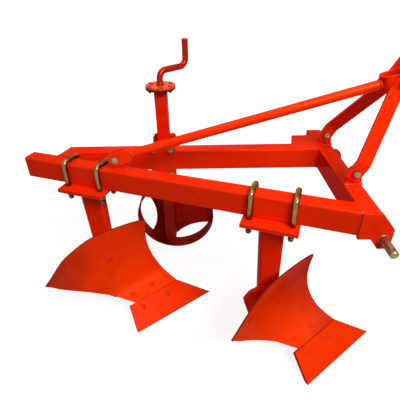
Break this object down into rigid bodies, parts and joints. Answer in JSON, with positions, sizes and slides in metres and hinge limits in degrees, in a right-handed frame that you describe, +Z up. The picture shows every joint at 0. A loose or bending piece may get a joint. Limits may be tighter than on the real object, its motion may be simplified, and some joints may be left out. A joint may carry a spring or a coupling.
{
  "type": "moldboard plough",
  "caption": "Mounted moldboard plough: box-tube frame, slanted mast with brace, clamped plough bodies and a crank-set gauge wheel.",
  "frame": {"origin": "centre of the box around the plough, on the ground plane of the share edges", "axes": "+X the way of travel, +Y to the left, +Z up"},
  "size_m": [1.1676, 0.7343, 0.9263],
  "materials": {
    "red_paint": "gloss orange-red paint over welded steel",
    "yellow_zinc": "yellow zinc plating",
    "plain_zinc": "dull zinc plating"
  },
  "bodies": {
    "frame": {"brace": "red_paint", "brace_bolt": "plain_zinc", "brace_ear": "red_paint", "cheek_left": "red_paint", "cheek_right": "red_paint", "clamp_plate_front": "red_paint", "clamp_plate_rear": "red_paint", "corner_gusset": "red_paint", "diagonal_beam": "red_paint", "frog_front": "red_paint", "frog_rear": "red_paint", "front_lug": "red_paint", "head_beam": "red_paint", "hitch_pin_left": "yellow_zinc", "hitch_pin_right": "yellow_zinc", "landside_front": "red_paint", "landside_rear": "red_paint", "left_beam": "red_paint", "leg_front": "red_paint", "leg_rear": "red_paint", "mast_bar_left": "red_paint", "mast_bar_right": "red_paint", "mast_foot_bolt_left": "plain_zinc", "mast_foot_bolt_right": "plain_zinc", "mast_lug_left": "red_paint", "mast_lug_right": "red_paint", "mast_strap": "red_paint", "mast_tie_bolt": "plain_zinc", "mouldboard_front": "red_paint", "mouldboard_rear": "red_paint", "post_cap": "red_paint", "post_clamp_bolts": "plain_zinc", "post_clamp_inner": "red_paint", "post_clamp_outer": "red_paint", "share_front": "red_paint", "share_rear": "red_paint", "stay_front": "red_paint", "stay_rear": "red_paint", "u_bolt_front_aft": "yellow_zinc", "u_bolt_front_fore": "yellow_zinc", "u_bolt_rear_aft": "yellow_zinc", "u_bolt_rear_fore": "yellow_zinc", "wheel_post": "red_paint"},
    "crank": {"crank_screw": "red_paint"},
    "carriage": {"wheel_carriage": "red_paint"},
    "wheel": {"gauge_wheel": "red_paint"}
  },
  "joints": [
    {"name": "crank_turn", "type": "hinge", "parent": "frame", "child": "crank", "pos_m": [-0.138, 0.209, 0.78], "axis": [0, 0, 1], "range_deg": [-5100, 3000]},
    {"name": "wheel_height", "type": "slide", "parent": "frame", "child": "carriage", "axis": [0, 0, 1], "range_m": [-0.05, 0.085]},
    {"name": "wheel_spin", "type": "hinge", "parent": "carriage", "child": "wheel", "pos_m": [-0.119, 0.2635, 0.25], "axis": [0, 1, 0], "continuous": true}
  ],
  "couplings": [
    {"joint": "wheel_height", "follows": "crank_turn", "m_per_rad": -0.0009549}
  ]
}
